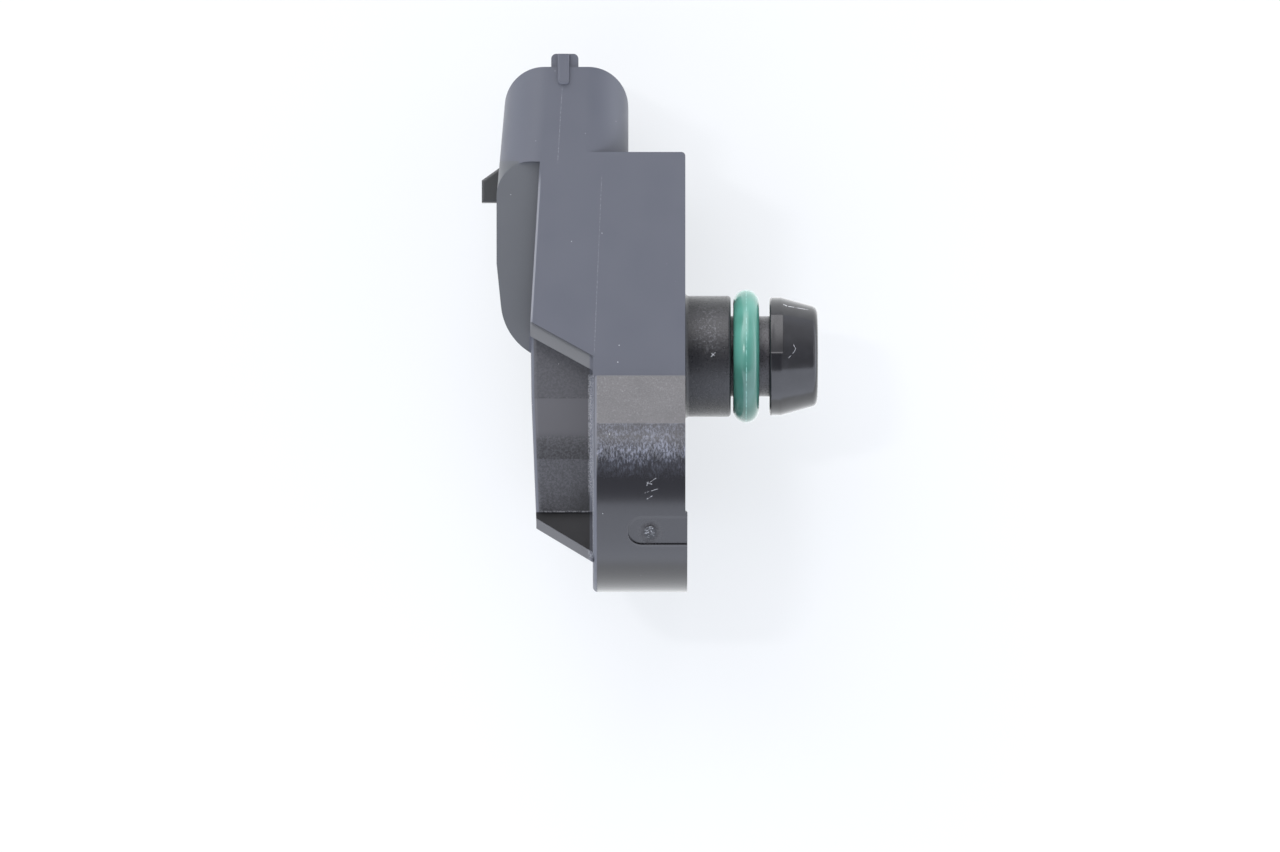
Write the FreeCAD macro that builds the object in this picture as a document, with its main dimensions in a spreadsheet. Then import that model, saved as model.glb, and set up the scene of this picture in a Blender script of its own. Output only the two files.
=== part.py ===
import FreeCAD, Part

import math
import os

import Sketcher

# Manifold absolute pressure sensor, in millimetres.
# The origin lies on the nozzle's axis, in the plane where the foot seats on the manifold.
# X runs towards the connector, Z away from the manifold and Y across the width.
# Sizes named "below" are measured from the nozzle's axis towards the screw ear.

driving = {
    # Main block
    "body_width": 20.5,
    "body_top": 20.25,
    "body_lift": 0.2,
    "body_round": 0.4,
    "body_edge_round": 0.25,
    "front_top": 14.6,
    "front_foot": 15.6,
    "ramp_top": 3.35,
    "ramp_foot_below": 0.05,
    # Screw ear and its foot
    "plate_top": 9.4,
    "shoulder_below": 1.95,
    "ear_half": 13.9,
    "ear_flat_half": 1.9,
    "ear_centre_below": 11.55,
    "flare_lead": 2.7,
    "flare_run": 2.3,
    "ear_edge_round": 0.5,
    "foot_below": 15.5,
    # Gate recess with its torn stub, on the ear's flank
    "gate_turn": 29.0,
    "gate_width": 3.3,
    "gate_height": 5.9,
    "gate_round": 1.4,
    "gate_depth": 0.3,
    "stub_height": 3.7,
    "stub_radius": 0.45,
    "stub_proud": 0.2,
    # Bush and the well for the screw's head
    "screw_pitch": 13.5,
    "bush_radius": 4.7,
    "bush_bore": 3.2,
    "bush_proud": 0.1,
    "bush_bevel": 0.4,
    "well_radius": 6.9,
    # Cheeks beside the well, set in from the block's wide faces down to their waist
    "cheek_inset": 1.65,
    "cheek_crown_inset": 1.35,
    "cheek_edge_inset": 1.6,
    "cheek_waist_half": 7.6,
    "cheek_tail_half": 7.0,
    "crown_from_below": 4.15,
    "crown_below": 8.4,
    "crown_round": 9.0,
    "crown_edge_below": 10.25,
    "waist_below": 15.55,
    "cheek_knee_below": 4.35,
    "cheek_knee_height": 15.5,
    "tail_below": 17.15,
    "tail_height": 15.0,
    "tail_foot_below": 20.5,
    "cheek_edge_round": 0.6,
    "cheek_foot_round": 0.4,
    # Sloped ribs that frame the side pocket
    "rib_inset": 0.2,
    "ramp_rib": 1.4,
    "tail_rib": 1.0,
    # Front bump
    "bump_inset": 0.95,
    "bump_foot_inset": 2.25,
    "bump_setback": 0.9,
    "bump_front": 18.96,
    "bump_top_round": 3.5,
    "bump_knee": 9.2,
    "bump_heel": 2.1,
    "bump_heel_height": 18.24,
    "bump_heel_round": 6.0,
    "bump_end": 0.3,
    # Connector shroud
    "shroud_back": 5.86,
    "shroud_embed": 3.75,
    "shroud_reach": 8.45,
    "shroud_front_root": 18.93,
    "shroud_front_rim": 17.85,
    "shroud_round": 4.15,
    "shroud_wall": 1.4,
    "mouth_round": 3.95,
    "socket_depth": 12.7,
    # Key rib and latch lug
    "key_centre": 12.17,
    "key_width": 2.7,
    "key_reach": 1.3,
    "key_depth": 1.0,
    "key_setback": 0.15,
    "key_round": 0.5,
    "strip_centre": 12.3,
    "strip_width": 1.15,
    "strip_length": 3.05,
    "strip_proud": 0.35,
    "strip_round": 0.4,
    "strip_edge_round": 0.2,
    "lug_half": 2.6,
    "lug_from_rim": 13.35,
    "lug_length": 2.2,
    "lug_height": 20.5,
    "lug_ramp": 1.4,
    "lug_edge_round": 0.25,
    # Electronics chamber and port cover
    "cover_above": 11.4,
    "cover_below": 7.1,
    "cover_half": 8.3,
    "cover_thickness": 2.0,
    "cover_corner": 1.5,
    "cover_ledge": 1.1,
    "bond_gap": 0.35,
    "bond_recess": 0.3,
    "chamber_ceiling": 7.8,
    # Nozzle
    "collar_radius": 6.05,
    "collar_reach": 4.35,
    "collar_edge": 0.3,
    "root_round": 0.4,
    "groove_radius": 4.02,
    "groove_reach": 8.22,
    "tip_radius": 5.92,
    "tip_edge": 0.25,
    "tip_straight": 9.4,
    "tip_end_radius": 4.9,
    "tip_end_round": 0.7,
    "tip_reach": 13.05,
    "port_bore": 2.1,
    "port_bevel": 0.4,
    "flat_turn": 23.5,
    "flat_chord": 4.2,
    "flat_from": 8.35,
    "flat_to": 9.55,
    "flat_depth": 0.4,
    # Seal ring
    "ring_section": 2.6,
    "ring_stretch_gap": 0.02,
    "ring_to_collar": 0.25,
    # Terminals
    "blade_thickness": 0.64,
    "blade_width": 1.5,
    "blade_pitch": 4.0,
    "blade_setback": 5.9,
    "blade_bevel_run": 0.8,
    "blade_bevel": 0.18,
    "leg_place": 8.3,
    "leg_bend": 0.84,
    "foot_reach": 1.6,
    # Board and what it carries
    "board_above": 6.4,
    "board_below": 5.4,
    "board_half": 6.6,
    "board_thickness": 0.8,
    "board_bond": 0.15,
    "cell_radius": 3.3,
    "cell_wall": 0.9,
    "cell_height": 2.1,
    "glass_side": 2.2,
    "glass_thickness": 0.7,
    "die_thickness": 0.4,
    "gel_recess": 0.2,
    "chip_length": 2.4,
    "chip_width": 2.0,
    "chip_thickness": 0.6,
    "chip_offset": 4.95,
    "capacitor_length": 1.6,
    "capacitor_width": 0.8,
    "capacitor_height": 0.8,
    # Bond wires
    "feed_wire_radius": 0.15,
    "feed_wire_span": 1.3,
    "feed_wire_drop": 0.55,
    "die_wire_radius": 0.05,
    "die_wire_span": 1.1,
    "die_wire_inset": 0.3,
    "die_wire_drop": 0.3,
    "die_wire_pitch": 0.9,
    # Coring pockets in the ear's underside
    "coring_wall": 2.0,
    "coring_skin": 3.6,
    "coring_length": 8.0,
    "coring_depth": 5.5,
    "coring_round": 1.2,
}

clear = 5.0         # how far a cutting outline reaches past what it cuts
overlap = 1.0       # how deep an added form starts inside what carries it

doc = FreeCAD.newDocument("pressure_sensor")
sheet = doc.addObject("Spreadsheet::Sheet", "Sizes")


class Measure:
    # A number together with the sheet formula that gives it
    def __init__(self, value, formula):
        self.value = value
        self.formula = formula

    def __add__(self, other):
        other = measure(other)
        return Measure(self.value + other.value, f"({self.formula} + {other.formula})")

    def __radd__(self, other):
        return measure(other) + self

    def __sub__(self, other):
        other = measure(other)
        return Measure(self.value - other.value, f"({self.formula} - {other.formula})")

    def __rsub__(self, other):
        return measure(other) - self

    def __mul__(self, other):
        other = measure(other)
        return Measure(self.value * other.value, f"({self.formula} * {other.formula})")

    def __rmul__(self, other):
        return measure(other) * self

    def __truediv__(self, other):
        other = measure(other)
        return Measure(self.value / other.value, f"({self.formula} / {other.formula})")

    def __neg__(self):
        return Measure(-self.value, f"(0 - {self.formula})")


def measure(item):
    if isinstance(item, Measure):
        return item
    return Measure(float(item), f"({float(item)})")


def sine(angle):
    return Measure(math.sin(math.radians(angle.value)), f"sin({angle.formula})")


def cosine(angle):
    return Measure(math.cos(math.radians(angle.value)), f"cos({angle.formula})")


def slope_turn(rise, run):
    # Angle of this slope, in degrees
    slope = rise / run
    return Measure(math.degrees(math.atan(slope.value)), f"atan({slope.formula})")


def half_turn(rise, run):
    # Tangent of half the angle of this slope
    slope = rise / run
    return Measure(math.tan(math.atan(slope.value) / 2), f"tan(atan({slope.formula}) / 2)")


def least(first, second):
    return Measure(min(first.value, second.value), f"min({first.formula}; {second.formula})")


class Sizes:
    pass


def fill_sheet():
    sizes = Sizes()
    for row, (name, number) in enumerate(driving.items(), 1):
        sheet.set(f"A{row}", name)
        sheet.set(f"B{row}", str(number))
        sheet.setAlias(f"B{row}", name)
        setattr(sizes, name, Measure(number, f"Sizes.{name}"))
    doc.recompute()
    return sizes


size = fill_sheet()
subparts = []


# Derived measures that several pieces share

body_half = size.body_width / 2
ear_round = size.ear_half - size.ear_flat_half
ear_end_below = size.ear_centre_below + ear_round
cheek_half = body_half - size.cheek_inset
rib_half = body_half - size.rib_inset
bump_foot_half = body_half - size.bump_foot_inset
bump_top = size.body_top - size.bump_setback
shroud_root = size.body_top - size.shroud_embed
shroud_rim = size.body_top + size.shroud_reach
bump_flank_top = shroud_root - overlap
bump_flank_turn = slope_turn(size.bump_foot_inset - size.bump_inset, bump_flank_top - size.bump_end)
socket_floor = shroud_rim - size.socket_depth
key_top = shroud_rim + size.key_reach
blade_tip = shroud_rim - size.blade_setback
cover_top = size.body_lift + size.cover_thickness
socket_low = size.shroud_back + size.shroud_wall
socket_high = size.shroud_front_rim - size.shroud_wall
blade_height = (socket_low + socket_high) / 2
board_top = size.chamber_ceiling - size.board_bond
board_face = board_top - size.board_thickness
board_length = size.board_above + size.board_below
die_face = board_face - size.glass_thickness - size.die_thickness
bush_top = size.plate_top + size.bush_proud
terminals = {"supply": -1, "signal": 0, "ground": 1}


# Sketch and feature helpers

def bind(item, prop, amount):
    item.setExpression(prop, measure(amount).formula)


def declare(item, name):
    item.Label = name
    subparts.append(item)
    return item


def new_body(name):
    return declare(doc.addObject("PartDesign::Body", name), name)


def lay_on(body, item, role, offset=0):
    plane = [plane for plane in body.Origin.OriginFeatures if plane.Role == role][0]
    item.AttachmentSupport = (plane, [""])
    item.MapMode = "FlatFace"
    bind(item, "AttachmentOffset.Base.z", offset)
    return item


def sketch_on(body, name, role, offset=0):
    return lay_on(body, body.newObject("Sketcher::SketchObject", name), role, offset)


def swing(item, turn, x, way=1):
    # Turns an item that lies on the XZ plane about an upright line at this x
    item.AttachmentOffset = FreeCAD.Placement(FreeCAD.Vector(), FreeCAD.Vector(0, way, 0), turn.value)
    bind(item, "AttachmentOffset.Rotation.Angle", turn)
    bind(item, "AttachmentOffset.Base.x", x)
    return item


def hold(sketch, kind, places, amount, name):
    # Adds a dimension and binds it to its formula
    amount = measure(amount)
    index = sketch.addConstraint(Sketcher.Constraint(kind, *places, amount.value))
    sketch.renameConstraint(index, name)
    sketch.setExpression(f"Constraints.{name}", amount.formula)


def pin_point(sketch, geometry, end, name, x, y):
    hold(sketch, "DistanceX", (-1, 1, geometry, end), x, f"{name}_x")
    hold(sketch, "DistanceY", (-1, 1, geometry, end), y, f"{name}_y")


def corner_arc(before, corner, after, radius):
    # The fillet arc at a corner, always counter-clockwise, and whether it starts on the first side
    back = (before - corner).normalize()
    ahead = (after - corner).normalize()
    half = back.getAngle(ahead) / 2
    run = radius / math.tan(half)
    centre = corner + (back + ahead).normalize() * (radius / math.sin(half))
    first, last = corner + back * run, corner + ahead * run
    turns_left = ahead.cross(back).z > 0
    start, end = (first, last) if turns_left else (last, first)
    angles = [math.atan2(point.y - centre.y, point.x - centre.x) for point in (start, end)]
    if angles[1] < angles[0]:
        angles[1] += 2 * math.pi
    circle = Part.Circle(centre, FreeCAD.Vector(0, 0, 1), radius)
    return Part.ArcOfCircle(circle, angles[0], angles[1]), first, last, turns_left


def draw_outline(sketch, corners, name="corner"):
    # A closed outline; each corner is (x, y), or (x, y, radius) where it is rounded
    count = len(corners)
    points = [FreeCAD.Vector(measure(c[0]).value, measure(c[1]).value, 0) for c in corners]
    arcs = {}
    for i, corner in enumerate(corners):
        if len(corner) == 3:
            arcs[i] = corner_arc(points[i - 1], points[i], points[(i + 1) % count], measure(corner[2]).value)
    lines = []
    for i in range(count):
        after = (i + 1) % count
        start = arcs[i][2] if i in arcs else points[i]
        end = arcs[after][1] if after in arcs else points[after]
        lines.append(sketch.addGeometry(Part.LineSegment(start, end), False))
    for i, corner in enumerate(corners):
        label = f"{name}{i + 1}"
        if i not in arcs:
            sketch.addConstraint(Sketcher.Constraint("Coincident", lines[i - 1], 2, lines[i], 1))
            pin_point(sketch, lines[i], 1, label, corner[0], corner[1])
            continue
        arc, first, last, turns_left = arcs[i]
        curve = sketch.addGeometry(arc, False)
        point = sketch.addGeometry(Part.Point(points[i]), True)
        ends = (1, 2) if turns_left else (2, 1)
        sketch.addConstraint([
            Sketcher.Constraint("Tangent", lines[i - 1], 2, curve, ends[0]),
            Sketcher.Constraint("Tangent", curve, ends[1], lines[i], 1),
            Sketcher.Constraint("PointOnObject", point, 1, lines[i - 1]),
            Sketcher.Constraint("PointOnObject", point, 1, lines[i]),
        ])
        hold(sketch, "Radius", (curve,), corner[2], f"{label}_round")
        pin_point(sketch, point, 1, label, corner[0], corner[1])


def draw_circle(sketch, x, y, radius, name="circle"):
    x, y, radius = measure(x), measure(y), measure(radius)
    centre = FreeCAD.Vector(x.value, y.value, 0)
    circle = sketch.addGeometry(Part.Circle(centre, FreeCAD.Vector(0, 0, 1), radius.value), False)
    hold(sketch, "Radius", (circle,), radius, f"{name}_radius")
    pin_point(sketch, circle, 3, name, x, y)


def block_corners(low_x, high_x, low_y, high_y, radius=None):
    corners = [(low_x, low_y), (high_x, low_y), (high_x, high_y), (low_x, high_y)]
    if radius is None:
        return corners
    return [(x, y, radius) for x, y in corners]


def extrude(body, kind, name, sketch, length, symmetric, reverse):
    feature = body.newObject(f"PartDesign::{kind}", name)
    feature.Profile = sketch
    feature.SideType = "Symmetric" if symmetric else "One side"
    feature.Reversed = reverse
    if length is None:
        feature.Type = "ThroughAll"
    else:
        bind(feature, "Length", length)
    doc.recompute()
    return feature


def pad(body, name, sketch, length, symmetric=False, reverse=False):
    return extrude(body, "Pad", name, sketch, length, symmetric, reverse)


def pad_up_to(body, name, sketch, plane, reverse=False):
    feature = body.newObject("PartDesign::Pad", name)
    feature.Profile = sketch
    feature.Type = "UpToFace"
    feature.UpToFace = (plane, [""])
    feature.Reversed = reverse
    doc.recompute()
    return feature


def pocket(body, name, sketch, length=None, symmetric=False, reverse=False):
    # Stops the build when the pocket removes nothing
    before = body.Shape.Volume
    feature = extrude(body, "Pocket", name, sketch, length, symmetric, reverse)
    if not body.Shape.Volume < before:
        raise RuntimeError(f"{name} cuts nothing")
    return feature


def revolve(body, name, sketch):
    feature = body.newObject("PartDesign::Revolution", name)
    feature.Profile = sketch
    feature.ReferenceAxis = (sketch, ["V_Axis"])
    feature.Angle = 360
    doc.recompute()
    return feature


def round_edges(body, name, radius, wanted):
    base = body.Tip
    picked = [f"Edge{i}" for i, edge in enumerate(base.Shape.Edges, 1) if wanted(edge)]
    feature = body.newObject("PartDesign::Fillet", name)
    feature.Base = (base, picked)
    bind(feature, "Radius", radius)
    doc.recompute()
    return feature


def near(a, b):
    return abs(a - b) < 1e-4


def new_primitive(kind, name, **bindings):
    item = doc.addObject(f"Part::{kind}", name)
    for prop, amount in bindings.items():
        bind(item, prop.replace("_", "."), amount)
    return item


def box(name, low, spans):
    # A box from its lowest corner and its spans
    item = new_primitive("Box", name, Length=spans[0], Width=spans[1], Height=spans[2])
    for letter, amount in zip("xyz", low):
        bind(item, f"Placement.Base.{letter}", amount)
    return item


def cylinder(name, radius, height, bottom):
    item = new_primitive("Cylinder", name, Radius=radius, Height=height)
    bind(item, "Placement.Base.z", bottom)
    return item


# Housing

def ear_outline():
    end = -ear_end_below
    flare_below = size.ear_centre_below - size.flare_lead
    rise, run = size.ear_half - body_half, flare_below - size.shoulder_below
    flare_round = size.flare_run / half_turn(rise, run)
    shoulder = -size.shoulder_below
    return [
        (shoulder, -body_half),
        (shoulder, body_half),
        (-flare_below, size.ear_half, flare_round),
        (end, size.ear_half, ear_round),
        (end, -size.ear_half, ear_round),
        (-flare_below, -size.ear_half, flare_round),
    ]


def add_ear(body):
    sketch = sketch_on(body, "ear_plan", "XY_Plane")
    draw_outline(sketch, ear_outline())
    pad(body, "ear", sketch, size.plate_top)
    shoulder = -size.shoulder_below.value

    def on_top_rim(edge):
        level = all(near(vertex.Z, size.plate_top.value) for vertex in edge.Vertexes)
        closing = all(near(vertex.X, shoulder) for vertex in edge.Vertexes)
        return level and not closing

    round_edges(body, "ear_rim", size.ear_edge_round, on_top_rim)
    sketch = sketch_on(body, "foot_step_side", "XZ_Plane")
    draw_outline(sketch, block_corners(-size.foot_below, clear, -clear, size.body_lift))
    pocket(body, "foot_step", sketch, symmetric=True)


def cheek_outline():
    half = [
        (size.ramp_top, cheek_half),
        (-size.crown_from_below, cheek_half),
        (-size.crown_below, body_half - size.cheek_crown_inset, size.crown_round),
        (-size.crown_edge_below, body_half - size.cheek_edge_inset),
        (-size.waist_below, size.cheek_waist_half),
        (-size.tail_foot_below, size.cheek_waist_half),
    ]
    mirrored = [(x, -y, *rest) for x, y, *rest in reversed(half)]
    return half + mirrored


def add_cheeks(body):
    sketch = sketch_on(body, "cheek_plan", "XY_Plane", size.plate_top - overlap)
    outline = cheek_outline()
    draw_outline(sketch, outline)
    above = size.front_foot + clear
    pad(body, "cheek_block", sketch, above - size.plate_top + overlap)
    widest = max(measure(corner[1]).value for corner in outline)

    def at_foot(edge):
        level = all(near(vertex.Z, size.plate_top.value) for vertex in edge.Vertexes)
        inside = all(abs(vertex.Y) < widest + 0.01
                     and vertex.X > -size.tail_foot_below.value - 0.01 for vertex in edge.Vertexes)
        return level and inside and any(vertex.X < -size.shoulder_below.value - 0.01 for vertex in edge.Vertexes)

    round_edges(body, "cheek_foot", size.cheek_foot_round, at_foot)

    sketch = sketch_on(body, "cheek_side", "XZ_Plane")
    beyond = -ear_end_below - clear
    draw_outline(sketch, [
        (size.ramp_top, size.front_foot),
        (-size.cheek_knee_below, size.cheek_knee_height),
        (-size.tail_below, size.tail_height),
        (-size.tail_foot_below, size.plate_top),
        (beyond, size.plate_top),
        (beyond, above + clear),
        (size.ramp_top + clear, above + clear),
        (size.ramp_top + clear, size.front_foot),
    ])
    pocket(body, "cheek_slope", sketch, symmetric=True)
    lowest = min(size.front_foot.value, size.cheek_knee_height.value, size.tail_height.value)

    def on_front_rim(edge):
        front = all(vertex.Z > lowest - 0.01 for vertex in edge.Vertexes)
        one_side = len({vertex.Y > 0 for vertex in edge.Vertexes}) == 1
        upright = near(edge.Vertexes[0].X, edge.Vertexes[-1].X)
        return front and one_side and not upright

    round_edges(body, "cheek_rim", size.cheek_edge_round, on_front_rim)


def add_block(body):
    sketch = sketch_on(body, "block_side", "XZ_Plane")
    inside = -size.shoulder_below - overlap
    draw_outline(sketch, [
        (size.body_top, size.body_lift, size.body_round),
        (size.body_top, size.front_top),
        (size.ramp_top, size.front_foot),
        (-size.ramp_foot_below, size.plate_top),
        (inside, size.plate_top),
        (inside, size.body_lift),
    ])
    pad(body, "block", sketch, size.body_width, symmetric=True)

    def on_front_edge(edge):
        outside = all(near(abs(vertex.Y), body_half.value) for vertex in edge.Vertexes)
        front = all(vertex.Z > size.front_top.value - 0.01 for vertex in edge.Vertexes)
        return outside and front and len({vertex.Y > 0 for vertex in edge.Vertexes}) == 1

    round_edges(body, "block_edge", size.body_edge_round, on_front_edge)


def add_ribs(body):
    # Both ribs lean with the ramp that ends the block above the ear
    sketch = sketch_on(body, "ramp_rib_side", "XZ_Plane")
    draw_outline(sketch, [
        (size.ramp_top, size.front_foot),
        (size.ramp_top - size.ramp_rib, size.front_foot),
        (-size.ramp_foot_below - size.ramp_rib, size.plate_top),
        (-size.ramp_foot_below, size.plate_top),
    ])
    pad(body, "ramp_rib_wall", sketch, rib_half * 2, symmetric=True)
    sketch = sketch_on(body, "tail_rib_side", "XZ_Plane")
    draw_outline(sketch, [
        (-size.tail_below, size.tail_height),
        (-size.tail_below + size.tail_rib, size.tail_height),
        (-size.tail_foot_below + size.tail_rib, size.plate_top),
        (-size.tail_foot_below, size.plate_top),
    ])
    pad(body, "tail_rib_wall", sketch, rib_half * 2, symmetric=True)


def add_tail_recesses(body):
    # A deeper triangle between the waist's edge and the tail rib, on both sides
    lean = (size.tail_foot_below - size.tail_below) / (size.tail_height - size.plate_top)
    rib_top = -size.tail_below + size.tail_rib
    corner_height = size.tail_height - (rib_top + size.waist_below) / lean
    for side, name in ((1, "near"), (-1, "far")):
        sketch = sketch_on(body, f"tail_recess_{name}_side", "XZ_Plane", size.cheek_tail_half * side)
        draw_outline(sketch, [
            (-size.waist_below, corner_height),
            (-size.tail_foot_below + size.tail_rib, size.plate_top),
            (-size.waist_below, size.plate_top),
        ])
        pocket(body, f"tail_recess_{name}", sketch, reverse=side > 0)


def bump_flank(body, kind, name, side):
    # The bump narrows towards its foot, so that this ends behind the cheeks
    item = lay_on(body, body.newObject(kind, name), "XZ_Plane", bump_foot_half * side)
    return swing(item, bump_flank_turn, size.bump_end, -side)


def add_bump(body):
    sketch = sketch_on(body, "bump_side", "XZ_Plane")
    inner = size.front_top - overlap
    draw_outline(sketch, [
        (bump_top, inner),
        (bump_top, size.bump_front, size.bump_top_round),
        (size.bump_knee, size.bump_front),
        (size.bump_heel, size.bump_heel_height, size.bump_heel_round),
        (size.bump_end, size.front_foot),
        (size.bump_end, inner),
    ])
    for side, name in ((1, "near"), (-1, "far")):
        plane = bump_flank(body, "PartDesign::Plane", f"bump_flank_{name}", side)
        pad_up_to(body, f"bump_{name}", sketch, plane, reverse=side < 0)


def front_height(x):
    # Height of the block's front face, which leans a little
    lean = (size.front_foot - size.front_top) / (size.body_top - size.ramp_top)
    return size.front_top + (size.body_top - x) * lean


def shroud_section(body, name, x, front):
    sketch = sketch_on(body, name, "YZ_Plane", x)
    draw_outline(sketch, block_corners(-body_half, body_half, size.shroud_back, front, size.shroud_round))
    return sketch


def add_shroud(body):
    root = shroud_section(body, "shroud_root_section", shroud_root, size.shroud_front_root)
    rim = shroud_section(body, "shroud_rim_section", shroud_rim, size.shroud_front_rim)
    shroud = body.newObject("PartDesign::AdditiveLoft", "shroud")
    shroud.Profile = root
    shroud.Sections = [rim]
    shroud.Ruled = True
    doc.recompute()

    # The bump's flanks step in from the shroud's wide faces
    stretch = cosine(bump_flank_turn)
    low, high = (bump_flank_top - size.bump_end) / stretch, (bump_top - size.bump_end) / stretch
    for side, name in ((1, "near"), (-1, "far")):
        sketch = bump_flank(body, "Sketcher::SketchObject", f"bump_step_{name}_side", side)
        draw_outline(sketch, [
            (low, front_height(bump_flank_top)),
            (high, front_height(bump_top)),
            (high, size.bump_front, size.bump_top_round),
            (low, size.bump_front),
        ])
        pocket(body, f"bump_step_{name}", sketch, reverse=side > 0)


def cut_mouth(body):
    # The mouth's narrow sides rise in an arch between the two wide walls
    taper = (size.shroud_front_root - size.shroud_front_rim) / (shroud_rim - shroud_root)
    low = shroud_rim - size.mouth_round * 2
    front = size.shroud_front_rim + size.mouth_round * 2 * taper
    sketch = sketch_on(body, "mouth_side", "XZ_Plane")
    draw_outline(sketch, [
        (low, front + clear),
        (low, front),
        (shroud_rim, size.shroud_front_rim, size.mouth_round),
        (shroud_rim, size.shroud_back, size.mouth_round),
        (low, size.shroud_back),
        (low, size.shroud_back - clear),
        (shroud_rim + clear, size.shroud_back - clear),
        (shroud_rim + clear, front + clear),
    ])
    pocket(body, "mouth", sketch, symmetric=True)


def cut_socket(body):
    sketch = sketch_on(body, "socket_section", "YZ_Plane", socket_floor)
    half = body_half - size.shroud_wall
    corner = size.shroud_round - size.shroud_wall
    draw_outline(sketch, block_corners(-half, half, socket_low, socket_high, corner))
    pocket(body, "socket", sketch, reverse=True)


def add_key(body):
    inner = body_half - size.shroud_wall - size.key_depth
    sketch = sketch_on(body, "key_side", "XZ_Plane", inner)
    low, high = size.key_centre - size.key_width / 2, size.key_centre + size.key_width / 2
    draw_outline(sketch, [
        (socket_floor - overlap, low),
        (key_top, low, size.key_round),
        (key_top, high, size.key_round),
        (socket_floor - overlap, high),
    ])
    pad(body, "key", sketch, body_half - size.key_setback - inner)
    sketch = sketch_on(body, "key_strip_side", "XZ_Plane", body_half - size.key_setback - overlap / 2)
    low, high = size.strip_centre - size.strip_width / 2, size.strip_centre + size.strip_width / 2
    draw_outline(sketch, [
        (key_top - size.strip_length, low, size.strip_round),
        (key_top, low),
        (key_top, high),
        (key_top - size.strip_length, high, size.strip_round),
    ])
    pad(body, "key_strip", sketch, size.strip_proud + size.key_setback + overlap / 2)
    strip_face = body_half + size.strip_proud

    def on_strip_rim(edge):
        outside = all(near(vertex.Y, -strip_face.value) for vertex in edge.Vertexes)
        return outside and any(vertex.X < key_top.value - 0.01 for vertex in edge.Vertexes)

    round_edges(body, "key_strip_rim", size.strip_edge_round, on_strip_rim)


def add_lug(body):
    base = size.shroud_front_rim
    low = shroud_rim - size.lug_from_rim
    peak = low + size.lug_length
    sketch = sketch_on(body, "lug_side", "XZ_Plane")
    draw_outline(sketch, [
        (low, base),
        (peak + (size.lug_height - base) / size.lug_ramp, base),
        (peak, size.lug_height),
        (low, size.lug_height),
    ])
    pad(body, "lug", sketch, size.lug_half * 2, symmetric=True)

    def on_lug_rim(edge):
        outside = all(near(abs(vertex.Y), size.lug_half.value) for vertex in edge.Vertexes)
        proud = any(near(vertex.Z, size.lug_height.value) for vertex in edge.Vertexes)
        return outside and proud and len({vertex.Y > 0 for vertex in edge.Vertexes}) == 1

    round_edges(body, "lug_rim", size.lug_edge_round, on_lug_rim)


def cover_outline(grow):
    return block_corners(-size.cover_below - grow, size.cover_above + grow,
                         -size.cover_half - grow, size.cover_half + grow, size.cover_corner + grow)


def cut_chamber(body):
    sketch = sketch_on(body, "cover_seat_plan", "XY_Plane", size.body_lift)
    draw_outline(sketch, cover_outline(size.bond_gap))
    pocket(body, "cover_seat", sketch, size.cover_thickness, reverse=True)
    sketch = sketch_on(body, "chamber_plan", "XY_Plane", cover_top)
    draw_outline(sketch, block_corners(
        -size.cover_below + size.cover_ledge, size.cover_above - size.cover_ledge,
        -size.cover_half + size.cover_ledge, size.cover_half - size.cover_ledge, size.cover_corner / 2))
    pocket(body, "chamber", sketch, size.chamber_ceiling - cover_top, reverse=True)


def cut_screw_hole(body):
    sketch = sketch_on(body, "well_plan", "XY_Plane", size.plate_top)
    draw_circle(sketch, -size.screw_pitch, 0, size.well_radius)
    pocket(body, "well", sketch, reverse=True)
    sketch = sketch_on(body, "bush_hole_plan", "XY_Plane", -overlap)
    draw_circle(sketch, -size.screw_pitch, 0, size.bush_radius)
    pocket(body, "bush_hole", sketch, reverse=True)


def cut_coring(body):
    near_edge = size.bush_radius + size.coring_wall
    far_edge = size.ear_half - size.coring_skin
    corner = least(size.coring_round, (far_edge - near_edge) / 2.5)
    for side, name in ((-1, "near"), (1, "far")):
        sketch = sketch_on(body, f"coring_{name}_plan", "XY_Plane")
        inner, outer = near_edge * side, far_edge * side
        low, high = (outer, inner) if side < 0 else (inner, outer)
        middle = -size.screw_pitch
        draw_outline(sketch, block_corners(
            middle - size.coring_length / 2, middle + size.coring_length / 2, low, high, corner))
        pocket(body, f"coring_{name}", sketch, size.coring_depth, reverse=True)


def gate_sketch(body, name, depth):
    # A plane square to the ear's flank at the gate, this deep under its surface
    reach = ear_round - depth
    sketch = sketch_on(body, name, "XZ_Plane", reach * cosine(size.gate_turn) + size.ear_flat_half)
    return swing(sketch, size.gate_turn, -size.ear_centre_below - reach * sine(size.gate_turn), -1)


def add_gate(body):
    sketch = gate_sketch(body, "gate_side", size.gate_depth)
    half = size.gate_width / 2
    draw_outline(sketch, [
        (-half, -clear),
        (half, -clear),
        (half, size.gate_height, size.gate_round),
        (-half, size.gate_height, size.gate_round),
    ])
    pocket(body, "gate", sketch, size.gate_depth + overlap, reverse=True)
    sketch = gate_sketch(body, "gate_stub_side", size.gate_depth + overlap / 2)
    draw_circle(sketch, 0, size.stub_height, size.stub_radius)
    pad(body, "gate_stub", sketch, size.stub_proud + overlap / 2)


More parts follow.
